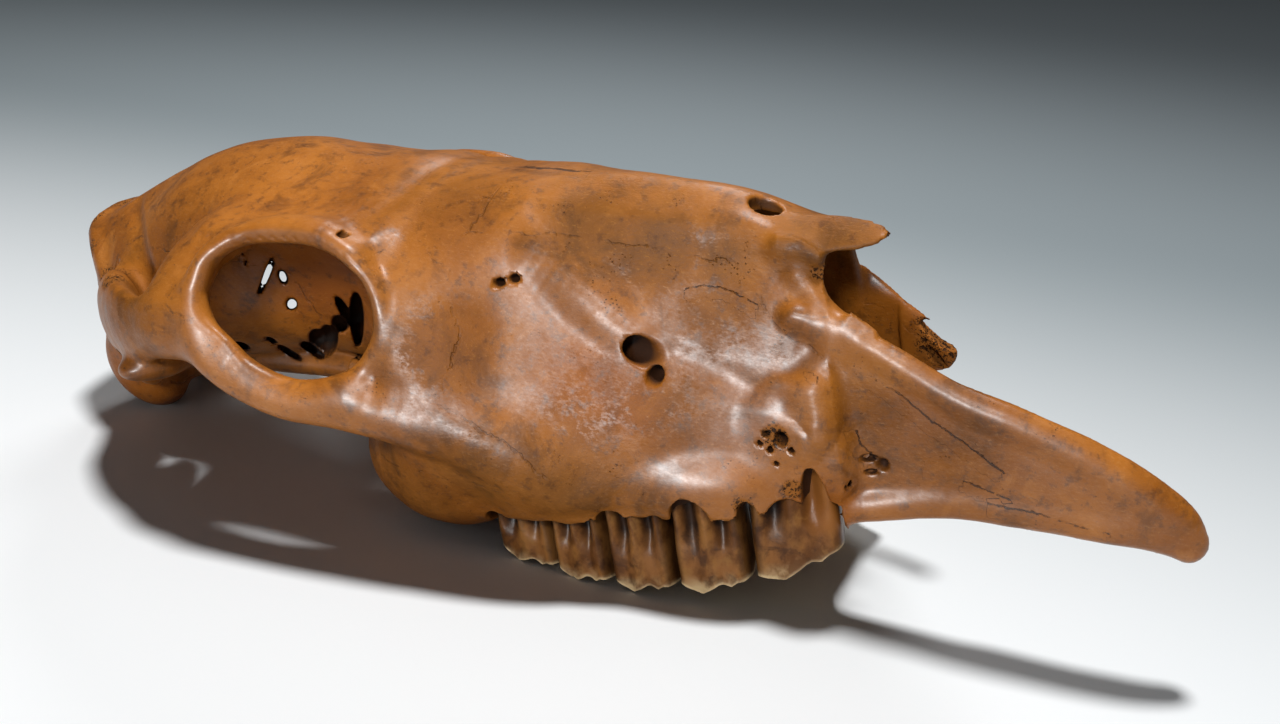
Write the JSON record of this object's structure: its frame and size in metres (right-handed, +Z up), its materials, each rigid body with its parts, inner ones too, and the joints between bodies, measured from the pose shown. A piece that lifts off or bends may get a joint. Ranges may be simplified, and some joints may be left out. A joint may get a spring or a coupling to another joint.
{
  "type": "horse skull",
  "caption": "Life-size dry horse cranium without lower jaw, brown-stained bone, one-sided broken muzzle, worn cheek teeth, resting on its condyles and teeth.",
  "frame": {"origin": "centre of the bounding box's footprint, at the level of the surface the skull rests on", "axes": "+X towards the muzzle, +Y to the animal's left, +Z up"},
  "size_m": [0.5644, 0.216, 0.1715],
  "materials": {
    "bone": "satin",
    "stained_bone": "satin"
  },
  "bodies": {
    "root": {"occipital": "stained_bone", "sphenoid": "stained_bone", "temporal_right": "stained_bone", "temporal_left": "stained_bone", "parietal": "stained_bone", "palatine": "bone", "zygomatic_right": "bone", "zygomatic_left": "bone", "lacrimal_right": "bone", "lacrimal_left": "bone", "frontal_right": "bone", "frontal_left": "bone", "nasal_right": "bone", "nasal_left": "bone", "premaxilla_right": "bone", "premaxilla_left": "bone", "maxilla_right": "bone", "maxilla_left": "bone"}
  },
  "joints": []
}
